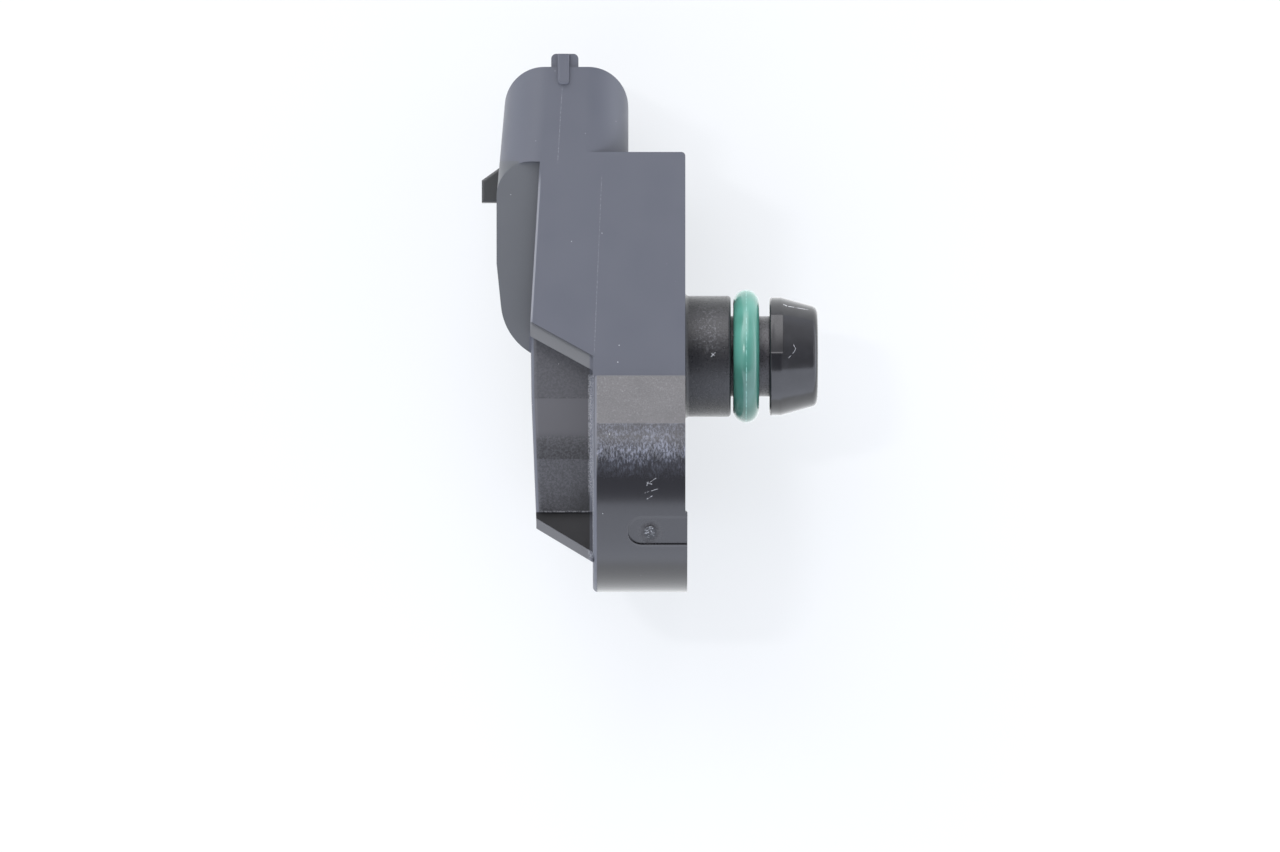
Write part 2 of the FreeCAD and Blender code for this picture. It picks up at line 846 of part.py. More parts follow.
def terminal_outline():
    # A straight blade, a leg down into the chamber and a foot for the bond wire
    half = size.blade_thickness / 2
    top, bottom = blade_height + half, blade_height - half
    inner_leg = size.leg_place + size.blade_thickness
    foot_top = board_face + size.blade_thickness
    taper_start = blade_tip - size.blade_bevel_run
    return [
        (blade_tip, bottom + size.blade_bevel),
        (blade_tip, top - size.blade_bevel),
        (taper_start, top),
        (size.leg_place, top, size.leg_bend),
        (size.leg_place, foot_top),
        (inner_leg - size.foot_reach, foot_top),
        (inner_leg - size.foot_reach, board_face),
        (inner_leg, board_face),
        (inner_leg, bottom, size.leg_bend - size.blade_thickness),
        (taper_start, bottom),
    ]


def cut_terminal_slots(body):
    for name, step in terminals.items():
        sketch = sketch_on(body, f"{name}_slot_side", "XZ_Plane", -size.blade_pitch * step)
        draw_outline(sketch, terminal_outline())
        pocket(body, f"{name}_slot", sketch, size.blade_width, symmetric=True)


def make_housing():
    body = new_body("housing")
    add_ear(body)
    add_cheeks(body)
    add_block(body)
    add_ribs(body)
    add_tail_recesses(body)
    add_bump(body)
    add_shroud(body)
    cut_mouth(body)
    add_lug(body)
    cut_socket(body)
    add_key(body)
    cut_screw_hole(body)
    cut_chamber(body)
    cut_coring(body)
    cut_terminal_slots(body)
    add_gate(body)


# Port cover with its nozzle

def make_port_cover():
    body = new_body("port_cover")
    sketch = sketch_on(body, "plate_plan", "XY_Plane", size.body_lift)
    draw_outline(sketch, cover_outline(0))
    pad(body, "plate", sketch, size.cover_thickness)
    sketch = sketch_on(body, "nozzle_profile", "XZ_Plane")
    draw_outline(sketch, [
        (size.port_bore, cover_top),
        (size.port_bore, -size.tip_reach + size.port_bevel),
        (size.port_bore + size.port_bevel, -size.tip_reach),
        (size.tip_end_radius, -size.tip_reach, size.tip_end_round),
        (size.tip_radius, -size.tip_straight),
        (size.tip_radius, -size.groove_reach, size.tip_edge),
        (size.groove_radius, -size.groove_reach),
        (size.groove_radius, -size.collar_reach),
        (size.collar_radius, -size.collar_reach, size.collar_edge),
        (size.collar_radius, cover_top),
    ])
    revolve(body, "nozzle", sketch)

    def at_root(edge):
        level = all(near(vertex.Z, size.body_lift.value) for vertex in edge.Vertexes)
        return level and near(edge.BoundBox.XMax, size.collar_radius.value)

    round_edges(body, "nozzle_root", size.root_round, at_root)
    sketch = sketch_on(body, "port_plan", "XY_Plane", cover_top)
    draw_circle(sketch, 0, 0, size.port_bore)
    pocket(body, "port", sketch, size.cover_thickness)

    # A small moulded flat on the tip's land, turned towards the connector
    reach = size.tip_radius - size.flat_depth
    sketch = sketch_on(body, "tip_flat_side", "XZ_Plane", reach * cosine(size.flat_turn))
    swing(sketch, size.flat_turn, reach * sine(size.flat_turn))
    half = size.flat_chord / 2
    draw_outline(sketch, block_corners(-half, half, -size.flat_to, -size.flat_from))
    pocket(body, "tip_flat", sketch, size.flat_depth + overlap, reverse=True)


def make_cover_adhesive():
    body = new_body("cover_adhesive")
    sketch = sketch_on(body, "bead_plan", "XY_Plane", size.body_lift + size.bond_recess)
    draw_outline(sketch, cover_outline(size.bond_gap), "outer")
    draw_outline(sketch, cover_outline(0), "inner")
    pad(body, "bead", sketch, size.cover_thickness - size.bond_recess)


def make_seal_ring():
    small = size.ring_section / 2
    ring = new_primitive("Torus", "seal_ring", Radius2=small,
                         Radius1=size.groove_radius + size.ring_stretch_gap + small)
    bind(ring, "Placement.Base.z", -size.collar_reach - size.ring_to_collar - small)
    declare(ring, "seal_ring")


def make_mounting_bush():
    body = new_body("mounting_bush")
    sketch = sketch_on(body, "bush_profile", "XZ_Plane")
    inner, outer, bevel = size.bush_bore, size.bush_radius, size.bush_bevel
    bottom = size.body_lift
    draw_outline(sketch, [
        (inner + bevel, bottom),
        (outer - bevel, bottom),
        (outer, bottom + bevel),
        (outer, bush_top - bevel),
        (outer - bevel, bush_top),
        (inner + bevel, bush_top),
        (inner, bush_top - bevel),
        (inner, bottom + bevel),
    ])
    revolve(body, "bush", sketch)
    bind(body, "Placement.Base.x", -size.screw_pitch)


def make_terminals():
    for name, step in terminals.items():
        body = new_body(f"terminal_{name}")
        sketch = sketch_on(body, f"{name}_blade_side", "XZ_Plane")
        draw_outline(sketch, terminal_outline())
        pad(body, f"{name}_blade", sketch, size.blade_width, symmetric=True)
        bind(body, "Placement.Base.y", size.blade_pitch * step)


# Board and measuring cell

def make_board():
    low = (-size.board_below, -size.board_half)
    spans = (board_length, size.board_half * 2)
    declare(box("board_adhesive", (*low, board_top), (*spans, size.board_bond)), "board_adhesive")
    declare(box("circuit_board", (*low, board_face), (*spans, size.board_thickness)), "circuit_board")


def make_cell():
    frame = doc.addObject("Part::Cut", "cell_frame")
    bottom = board_face - size.cell_height
    frame.Base = cylinder("cell_outside", size.cell_radius, size.cell_height, bottom)
    frame.Tool = cylinder("cell_inside", size.cell_radius - size.cell_wall, size.cell_height, bottom)
    declare(frame, "cell_frame")
    side = size.glass_side
    corner = (-side / 2, -side / 2)
    glass = box("glass_base", (*corner, board_face - size.glass_thickness), (side, side, size.glass_thickness))
    die = box("pressure_die", (*corner, die_face), (side, side, size.die_thickness))
    declare(glass, "glass_base")
    declare(die, "pressure_die")
    wires = make_die_wires()
    gel = doc.addObject("Part::Cut", "die_gel")
    depth = size.cell_height - size.gel_recess
    gel.Base = cylinder("gel_fill", size.cell_radius - size.cell_wall, depth, board_face - depth)
    gel.Tool = doc.addObject("Part::MultiFuse", "gel_displaced")
    gel.Tool.Shapes = [glass, die, wires]
    declare(gel, "die_gel")


def make_chips():
    length, width = size.chip_length, size.chip_width
    low = (-length / 2, size.chip_offset - width / 2, board_face - size.chip_thickness)
    declare(box("signal_chip", low, (length, width, size.chip_thickness)), "signal_chip")
    spans = (size.capacitor_width, size.capacitor_length, size.capacitor_height)
    for name, step in terminals.items():
        place = size.blade_pitch * step - size.capacitor_length / 2
        low = (size.board_above - size.feed_wire_span - size.capacitor_width * 2, place,
               board_face - size.capacitor_height)
        declare(box(f"capacitor_{name}", low, spans), f"capacitor_{name}")


def bond_wire(start, end, drop, radius):
    # Round wire bent square at its two corners, with flat mitres
    low = min(start.z, end.z) - drop
    corners = [start, FreeCAD.Vector(start.x, start.y, low), FreeCAD.Vector(end.x, end.y, low), end]
    path = Part.makePolygon(corners)
    section = Part.Wire(Part.makeCircle(radius, start, FreeCAD.Vector(0, 0, -1)))
    right_corners = 1
    return path.makePipeShell([section], True, True, right_corners)


def new_feature(name, shapes):
    item = doc.addObject("Part::Feature", name)
    item.Shape = Part.makeCompound(shapes)
    return declare(item, name)


def make_terminal_wires():
    level = board_face.value
    start_x = size.leg_place.value + size.blade_thickness.value - size.foot_reach.value / 2
    wires = []
    for step in terminals.values():
        place = size.blade_pitch.value * step
        start = FreeCAD.Vector(start_x, place, level)
        end = FreeCAD.Vector(start_x - size.feed_wire_span.value, place, level)
        wires.append(bond_wire(start, end, size.feed_wire_drop.value, size.feed_wire_radius.value))
    new_feature("terminal_wires", wires)


def make_die_wires():
    start_x = size.glass_side.value / 2 - size.die_wire_inset.value
    wires = []
    for way in (-1, 1):
        for row in (-0.5, 0.5):
            place = size.die_wire_pitch.value * row
            start = FreeCAD.Vector(way * start_x, place, die_face.value)
            end = FreeCAD.Vector(way * (start_x + size.die_wire_span.value), place, board_face.value)
            wires.append(bond_wire(start, end, size.die_wire_drop.value, size.die_wire_radius.value))
    return new_feature("die_wires", wires)


def check_and_write():
    doc.recompute()
    failed = [item.Name for item in doc.Objects if {"Invalid", "Error"} & set(item.State)]
    if failed:
        raise RuntimeError(f"failed objects: {failed}")
    for item in subparts:
        if item.Shape.isNull() or not item.Shape.isValid():
            raise RuntimeError(f"{item.Label} has no valid shape")
    os.makedirs("parts", exist_ok=True)
    for item in subparts:
        item.Shape.exportStep(f"parts/{item.Label}.step")
        print(item.Label, len(item.Shape.Solids), "solid(s)", round(item.Shape.Volume, 2), "mm3")


make_housing()
make_port_cover()
make_cover_adhesive()
make_seal_ring()
make_mounting_bush()
make_terminals()
make_board()
make_cell()
make_chips()
make_terminal_wires()
check_and_write()
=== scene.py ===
import math

import bpy
from mathutils import Matrix, Vector


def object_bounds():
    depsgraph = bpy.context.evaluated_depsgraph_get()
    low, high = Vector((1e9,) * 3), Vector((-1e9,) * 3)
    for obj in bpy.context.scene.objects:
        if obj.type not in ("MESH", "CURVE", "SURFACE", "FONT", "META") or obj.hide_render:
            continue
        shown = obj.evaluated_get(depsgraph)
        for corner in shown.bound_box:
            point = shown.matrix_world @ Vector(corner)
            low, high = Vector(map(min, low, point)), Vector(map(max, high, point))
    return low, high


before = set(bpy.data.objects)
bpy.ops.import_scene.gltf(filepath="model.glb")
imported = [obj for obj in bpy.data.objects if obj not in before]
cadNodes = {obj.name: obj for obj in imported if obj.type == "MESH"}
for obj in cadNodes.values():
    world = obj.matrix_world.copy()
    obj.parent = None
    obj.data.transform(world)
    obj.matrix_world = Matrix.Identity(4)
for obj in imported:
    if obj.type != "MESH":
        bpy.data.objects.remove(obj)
cadLow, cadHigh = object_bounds()
mm = 0.001
print("frame loaded:", len(cadNodes), "nodes")


# Camera: looks along the width from close to the picture's plane, with the connector upwards

cameraSizes = {
    "distance": 1.5,             # far enough to flatten the perspective as the photograph does
    "centreX": -6.97 * mm,       # middle of the picture along the connector's axis
    "centreZ": 4.7 * mm,         # middle of the picture along the nozzle's axis
    "pictureWidth": 128 * mm,    # what the picture spans on the nozzle's axis
    "sensorWidth": 36.0,
}


def addCamera(sizes):
    data = bpy.data.cameras.new("photoCamera")
    data.sensor_width = sizes["sensorWidth"]
    data.lens = sizes["sensorWidth"] * sizes["distance"] / sizes["pictureWidth"]
    data.clip_start = 0.05
    data.clip_end = 20
    camera = bpy.data.objects.new("photoCamera", data)
    forward, up = Vector((0, 1, 0)), Vector((1, 0, 0))
    right = forward.cross(up)
    turn = Matrix((right, up, -forward)).transposed().to_4x4()
    place = Vector((sizes["centreX"], -sizes["distance"], sizes["centreZ"]))
    camera.matrix_world = Matrix.Translation(place) @ turn
    bpy.context.collection.objects.link(camera)
    bpy.context.scene.camera = camera


addCamera(cameraSizes)
bpy.context.scene.view_settings.view_transform = "Standard"
print("camera set")


# Node helper shared by the world, the floor and every finish

class NodeBoard:
    def __init__(self, tree):
        self.tree = tree
        tree.nodes.clear()

    def add(self, kind, inputs=None, **settings):
        node = self.tree.nodes.new(kind)
        for key, value in settings.items():
            setattr(node, key, value)
        for key, value in (inputs or {}).items():
            if isinstance(value, bpy.types.NodeSocket):
                self.tree.links.new(value, node.inputs[key])
            else:
                node.inputs[key].default_value = value
        return node

    def calc(self, operation, first, second=0.0, third=0.0):
        return self.add("ShaderNodeMath", {0: first, 1: second, 2: third}, operation=operation).outputs[0]

    def times(self, first, *others):
        for other in others:
            first = self.calc("MULTIPLY", first, other)
        return first

    def most(self, first, *others):
        for other in others:
            first = self.calc("MAXIMUM", first, other)
        return first

    def remap(self, value, low, high, toLow=0.0, toHigh=1.0):
        node = self.add(
            "ShaderNodeMapRange",
            {"Value": value, "From Min": low, "From Max": high, "To Min": toLow, "To Max": toHigh},
            interpolation_type="SMOOTHSTEP")
        return node.outputs["Result"]

    def above(self, value, level, soft=0.02):
        return self.remap(value, level - soft, level + soft)

    def below(self, value, level, soft=0.02):
        return self.remap(value, level - soft, level + soft, 1.0, 0.0)

    def band(self, value, low, high, soft):
        # 1 between low and high, fading to 0 over soft on both sides
        return self.times(self.above(value, low, soft), self.below(value, high, soft))

    def profile(self, value, stops, top=1.0):
        # Levels up to top at given places, joined by straight lines
        low, high = stops[0][0], stops[-1][0]
        share = self.calc("DIVIDE", self.calc("SUBTRACT", value, low), high - low)
        ramp = self.add("ShaderNodeValToRGB", {"Fac": share})
        points = ramp.color_ramp.elements
        while len(points) < len(stops):
            points.new(0.5)
        for point, (place, level) in zip(points, stops):
            point.position = (place - low) / (high - low)
        for point, (place, level) in zip(points, stops):
            point.color = (level / top, level / top, level / top, 1.0)
        return self.times(ramp.outputs["Color"], top)

    def mixColour(self, factor, first, second, blend="MIX"):
        node = self.add("ShaderNodeMix", {"Factor": factor}, data_type="RGBA", blend_type=blend)
        for place, value in ((6, first), (7, second)):
            if isinstance(value, bpy.types.NodeSocket):
                self.tree.links.new(value, node.inputs[place])
            else:
                node.inputs[place].default_value = (*value, 1.0)
        return node.outputs[2]

    def mixValue(self, factor, first, second):
        return self.add("ShaderNodeMix", {0: factor, 2: first, 3: second}, data_type="FLOAT").outputs[0]

    def scaled(self, colour, amount):
        node = self.add("ShaderNodeVectorMath", {0: colour, "Scale": amount}, operation="SCALE")
        return node.outputs["Vector"]

    def noise(self, vector, scale, detail=2.0, roughness=0.5):
        inputs = {"Vector": vector, "Scale": scale, "Detail": detail, "Roughness": roughness}
        return self.add("ShaderNodeTexNoise", inputs).outputs["Fac"]

    def stretched(self, vector, scale, turn=(0.0, 0.0, 0.0)):
        node = self.add("ShaderNodeMapping", {"Vector": vector, "Scale": scale, "Rotation": turn})
        return node.outputs["Vector"]

    def bump(self, height, strength, distance):
        inputs = {"Height": height, "Strength": strength, "Distance": distance}
        return self.add("ShaderNodeBump", inputs).outputs["Normal"]

    def farFrom(self, flat, start, end):
        # Distance of the flattened place from a straight run between two points, each (x, z)
        begin = (start[0], 0.0, start[1])
        way = (end[0] - start[0], 0.0, end[1] - start[1])
        square = way[0] ** 2 + way[2] ** 2
        local = self.add("ShaderNodeVectorMath", {0: flat, 1: begin}, operation="SUBTRACT").outputs["Vector"]
        share = self.add("ShaderNodeVectorMath", {0: local, 1: tuple(part / square for part in way)},
                         operation="DOT_PRODUCT").outputs["Value"]
        share = self.add("ShaderNodeClamp", {"Value": share}).outputs["Result"]
        along = self.scaled(way, share)
        return self.add("ShaderNodeVectorMath", {0: local, 1: along}, operation="DISTANCE").outputs["Value"]

    def stroke(self, flat, start, end, width):
        # 1 on a short straight mark, softer towards its borders
        return self.remap(self.farFrom(flat, start, end), width / 4, width / 2, 1.0, 0.0)


# World: a pale tent, dim round the camera, with a soft box above it and a card below

worldSizes = {
    "backdrop": (0.962, 0.982, 1.0),
    "tint": (0.93, 0.945, 1.0),
    "tintBehind": (0.83, 0.88, 1.0),
    "levels": [(0, 0.28), (16, 0.32), (32, 0.55), (50, 1.00), (72, 1.20), (92, 2.10), (130, 2.60),
               (180, 2.00)],     # degrees from the camera's line, brightness
    "levelTop": 3.0,
    "sideGains": [(-90, 2.6), (-65, 2.1), (-40, 1.25), (-20, 1.0), (90, 1.0)],   # brighter beyond the nozzle
    "sideTop": 3.0,
    "dimBehind": (10, 60, 0.42), # from, to, gain: dimmer behind the part, above and below
    "card": {"edge": -28.8, "far": -118, "soft": 1.2, "level": 2.95},
    "cardTint": (0.85, 0.89, 1.0),
    "box": {"nose": -14, "front": 52, "soft": 7},
    "boxLevels": [(22, 0.0), (32, 2.0), (44, 4.4), (60, 4.8), (74, 4.3), (84, 2.6), (96, 0.0)],
    "boxTop": 6.0,
    "boxTint": (0.98, 0.97, 1.0),
}


def buildWorld(sizes):
    world = bpy.data.worlds.new("paleStudio")
    world.use_nodes = True
    board = NodeBoard(world.node_tree)
    direction = board.add("ShaderNodeTexCoord").outputs["Generated"]
    split = board.add("ShaderNodeSeparateXYZ", {"Vector": direction})
    towardsCamera = board.times(split.outputs["Y"], -1.0)
    angle = board.calc("DEGREES", board.calc("ARCCOSINE", towardsCamera))
    rise = board.calc("DEGREES", board.calc("ARCTAN2", split.outputs["X"], towardsCamera))
    aside = board.calc("DEGREES", board.calc("ARCSINE", split.outputs["Z"]))
    level = board.profile(angle, sizes["levels"], sizes["levelTop"])
    level = board.times(level, board.profile(aside, sizes["sideGains"], sizes["sideTop"]))
    behind = board.remap(angle, 70, 105)
    start, full, gain = sizes["dimBehind"]
    dim = board.remap(board.calc("ABSOLUTE", aside), start, full, gain, 1.0)
    level = board.times(level, board.mixValue(behind, 1.0, dim))
    card, box = sizes["card"], sizes["box"]
    onCard = board.times(board.below(rise, card["edge"], card["soft"]), board.above(rise, card["far"], 6))
    level = board.mixValue(onCard, level, board.most(level, card["level"]))
    onBox = board.times(board.profile(rise, sizes["boxLevels"], sizes["boxTop"]),
                        board.band(aside, box["nose"], box["front"], box["soft"]))
    colour = board.mixColour(behind, sizes["tint"], sizes["tintBehind"])
    colour = board.mixColour(onCard, colour, sizes["cardTint"])
    tent = board.add("ShaderNodeBackground", {"Color": colour, "Strength": level})
    soft = board.add("ShaderNodeBackground", {"Color": (*sizes["boxTint"], 1.0), "Strength": onBox})
    light = board.add("ShaderNodeAddShader", {0: tent.outputs[0], 1: soft.outputs[0]})
    seen = board.add("ShaderNodeBackground", {"Color": (*sizes["backdrop"], 1.0), "Strength": 1.0})
    isCamera = board.add("ShaderNodeLightPath").outputs["Is Camera Ray"]
    mixed = board.add("ShaderNodeMixShader", {0: isCamera, 1: light.outputs[0], 2: seen.outputs[0]})
    board.add("ShaderNodeOutputWorld", {"Surface": mixed.outputs[0]})
    bpy.context.scene.world = world


buildWorld(worldSizes)


# Lamp: a small one beside the camera, which leaves the glints on the ring and the tip

glintSizes = {
    "up": 13,                    # degrees from the camera's line towards the connector
    "aside": 22,                 # degrees from the camera's line away from the nozzle's end
    "distance": 0.9,
    "width": 0.03,
    "height": 0.10,
    "power": 1.6,
}


def addGlintLamp(sizes):
    data = bpy.data.lights.new("glintLamp", "AREA")
    data.shape = "RECTANGLE"
    data.size = sizes["width"]
    data.size_y = sizes["height"]
    data.energy = sizes["power"]
    lamp = bpy.data.objects.new("glintLamp", data)
    up, aside = math.radians(sizes["up"]), math.radians(sizes["aside"])
    outwards = Vector((math.sin(up), -math.cos(up) * math.cos(aside), math.sin(aside))).normalized()
    turn = outwards.to_track_quat("Z", "Y").to_matrix().to_4x4()
    lamp.matrix_world = Matrix.Translation(outwards * sizes["distance"]) @ turn
    bpy.context.collection.objects.link(lamp)


addGlintLamp(glintSizes)
print("light set")


# Floor: the pale sheet that the part lies on, behind it in the picture

floorSizes = {
    "gap": 1.5 * mm,             # between the ear's flank and the sheet
    "half": 0.45,
    "fadeFrom": 0.10,
    "fadeTo": 0.40,
    "glow": 0.625,
    "albedo": 0.22,
    "bounce": 1.7,               # brightness that the part receives from the sheet
}


def addFloor(sizes):
    level = cadHigh.y + sizes["gap"]
    middle = (cadLow + cadHigh) / 2
    half = sizes["half"]
    corners = [(-half, -half), (half, -half), (half, half), (-half, half)]
    mesh = bpy.data.meshes.new("paleFloor")
    mesh.from_pydata([(middle.x + x, level, middle.z + z) for x, z in corners], [], [(0, 1, 2, 3)])
    floor = bpy.data.objects.new("paleFloor", mesh)
    bpy.context.collection.objects.link(floor)
    material = bpy.data.materials.new("paleSheet")
    material.use_nodes = True
    board = NodeBoard(material.node_tree)
    place = board.add("ShaderNodeTexCoord").outputs["Object"]
    fromMiddle = board.add("ShaderNodeVectorMath", {0: place, 1: (middle.x, level, middle.z)},
                           operation="DISTANCE")
    fade = board.remap(fromMiddle.outputs["Value"], sizes["fadeFrom"], sizes["fadeTo"])
    behind = board.add("ShaderNodeNewGeometry").outputs["Backfacing"]
    backdrop = worldSizes["backdrop"]
    sheetColour = (*(sizes["albedo"] * part for part in backdrop), 1.0)
    sheet = board.add("ShaderNodeBsdfDiffuse", {"Color": sheetColour})
    glow = board.add("ShaderNodeEmission", {"Color": (*backdrop, 1.0), "Strength": sizes["glow"]})
    seen = board.add("ShaderNodeAddShader", {0: sheet.outputs[0], 1: glow.outputs[0]})
    bounce = board.add("ShaderNodeEmission", {"Color": (*backdrop, 1.0), "Strength": sizes["bounce"]})
    isCamera = board.add("ShaderNodeLightPath").outputs["Is Camera Ray"]
    lit = board.add("ShaderNodeMixShader", {0: isCamera, 1: bounce.outputs[0], 2: seen.outputs[0]})
    clearSheet = board.add("ShaderNodeBsdfTransparent")
    away = board.most(fade, behind)
    mixed = board.add("ShaderNodeMixShader", {0: away, 1: lit.outputs[0], 2: clearSheet.outputs[0]})
    board.add("ShaderNodeOutputMaterial", {"Surface": mixed.outputs[0]})
    mesh.materials.append(material)


addFloor(floorSizes)
print("floor laid")


# Finishes

def newFinish(name):
    material = bpy.data.materials.new(name)
    material.use_nodes = True
    board = NodeBoard(material.node_tree)
    place = board.add("ShaderNodeTexCoord").outputs["Object"]
    return material, board, board.scaled(place, 1 / mm)


def closeFinish(board, **inputs):
    named = {key.replace("_", " "): value for key, value in inputs.items()}
    shader = board.add("ShaderNodeBsdfPrincipled", named)
    board.add("ShaderNodeOutputMaterial", {"Surface": shader.outputs["BSDF"]})


def dress(nodeNames, material):
    for nodeName in nodeNames:
        mesh = cadNodes[nodeName].data
        mesh.materials.clear()
        mesh.materials.append(material)


# Housing: etched black plastic with a grainy flare, a polished and rubbed flank, pale edges that are painted
# highlights, and painted shade in its creases and pocket

housingLook = {
    "etched": (0.0600, 0.0640, 0.0795),
    "etchedSecond": (0.0620, 0.0658, 0.0812),
    # darker than the etched face: painted shade of the recessed bump
    "bump": (0.0590, 0.0625, 0.0690),
    "pocket": (0.0500, 0.0502, 0.0570),
    # painted shade: the lug sits deep between the sides and is painted dark
    "lug": (0.0190, 0.0205, 0.0215),
    # painted light: the rib bands are painted lighter, as their slanted faces catch the light
    "ribs": (0.0850, 0.0870, 0.0915),
    "facet": (0.058, 0.0565, 0.059),
    # painted glints on the flare's grain
    "facetGlint": (0.150, 0.150, 0.155),
    "polished": (0.0115, 0.0115, 0.0140),
    "rubbed": (0.150, 0.162, 0.205),
    # pale colour of the scratches, witness lines and torn chips, and of the painted highlights on the edges
    "paleWearAndHighlight": (0.22, 0.225, 0.24),
    # dark of the painted shade in the creases, and of the torn stub's core
    "creaseShadeAndTorn": (0.020, 0.021, 0.024),
    "dust": (0.60, 0.62, 0.62),
    "etchedRoughness": 0.52,
    "polishedRoughness": 0.23,
    "tornRoughness": 0.7,
    "gloss": 0.5,
    "scuffGloss": 0.28,          # the flank's top is rubbed dull
    "tailGain": 0.32,            # the pocket's colour in the shade of the cheek's tail
    "cornerShadeGain": 0.42,             # and painted shade in its low corner
    "scuffStretch": (2.0, 5.6, 5.6),
    "dustReach": (0.012, 0.048), # smallest and largest grain
    "dustShare": 0.40,
    "surfaceDepth": 0.014,
}

# Places on the housing in millimetres, as the frame has them
housingPlaces = {
    "blockEnd": 20.25,
    "frontTop": 14.60,           # height of the leaning front face at the block's end
    "rampTop": 3.35,
    "frontFoot": 15.60,          # and at the ramp's top
    "rampFoot": -0.05,
    "plateTop": 9.40,
    "shoulder": -1.95,
    "facetEnd": -6.70,           # where the flare turns into the ear's flank
    "scuffFrom": -7.80,
    "rubbedEnd": -12.20,
    "kneeX": -4.35,
    "kneeHeight": 15.50,
    "tailX": -17.15,
    "tailHeight": 15.00,
    "waist": -15.55,
    "pocketHalf": 7.2,           # inner side of the pocket's floor
    "tailHalf": 6.8,
    "lowCornerX": -13.0,
    "lowCornerHeight": 11.5,
    "ribHalf": 10.05,
    "wideHalf": 10.25,
    "webHalf": 9.20,
    "bumpHalf": 9.62,
    "bumpEnd": 19.38,
    "lugHalf": 2.60,
    "lugFrom": 15.35,
    "lugFoot": 18.10,
}

# How light the pocket's floor is along X, as a share of the etched colour: painted shade in the dark steps
# at the knee and where the floor's wall turns
pocketLevels = [(-15.5, 0.60), (-13.0, 0.72), (-10.30, 0.74), (-10.22, 0.38), (-9.6, 0.42), (-8.5, 0.60),
                (-7.6, 0.92), (-4.25, 1.00), (-4.18, 0.62), (-4.10, 0.80), (1.5, 0.78)]

# How much of the ear's flank is scuffed along X
scuffLevels = [(-12.2, 0.0), (-11.2, 0.14), (-10.6, 0.28), (-10.0, 0.48), (-9.4, 0.66), (-8.8, 0.58),
               (-8.2, 0.42), (-7.6, 0.34), (-6.6, 0.30)]

# Scratches on the near flank: start and end as (x, z), and width
flankScratches = [
    ((-12.15, 3.12), (-12.55, 3.72), 0.09),
    ((-12.50, 3.90), (-12.85, 4.02), 0.12),
    ((-12.60, 3.98), (-12.72, 3.55), 0.16),
    ((-13.20, 2.95), (-13.40, 3.55), 0.08),
    ((-13.45, 3.80), (-13.60, 4.20), 0.08),
    ((-13.90, 3.50), (-14.20, 4.00), 0.10),
    ((-8.60, 0.50), (-9.60, 0.55), 0.07),
    ((-8.70, 0.85), (-9.35, 0.88), 0.06),
    ((-8.55, 1.15), (-9.20, 1.20), 0.06),
]

# Witness lines of the mould on the block's sides: slope, height at X 0, and where each runs along X
witnessLines = [
    (-0.042, 9.25, 0.4, 17.8),
    (-0.062, 14.07, 19.3, 26.7),
]

gateSizes = {
    "line": ((-17.42, -3.0), (-17.42, 4.45)),   # middle line of the gate's recess
    "half": 1.45,
    "from": -15.4,
    "stub": (-17.42, 3.70),
    "stubReach": 0.62,
    "haloReach": 1.05,
}


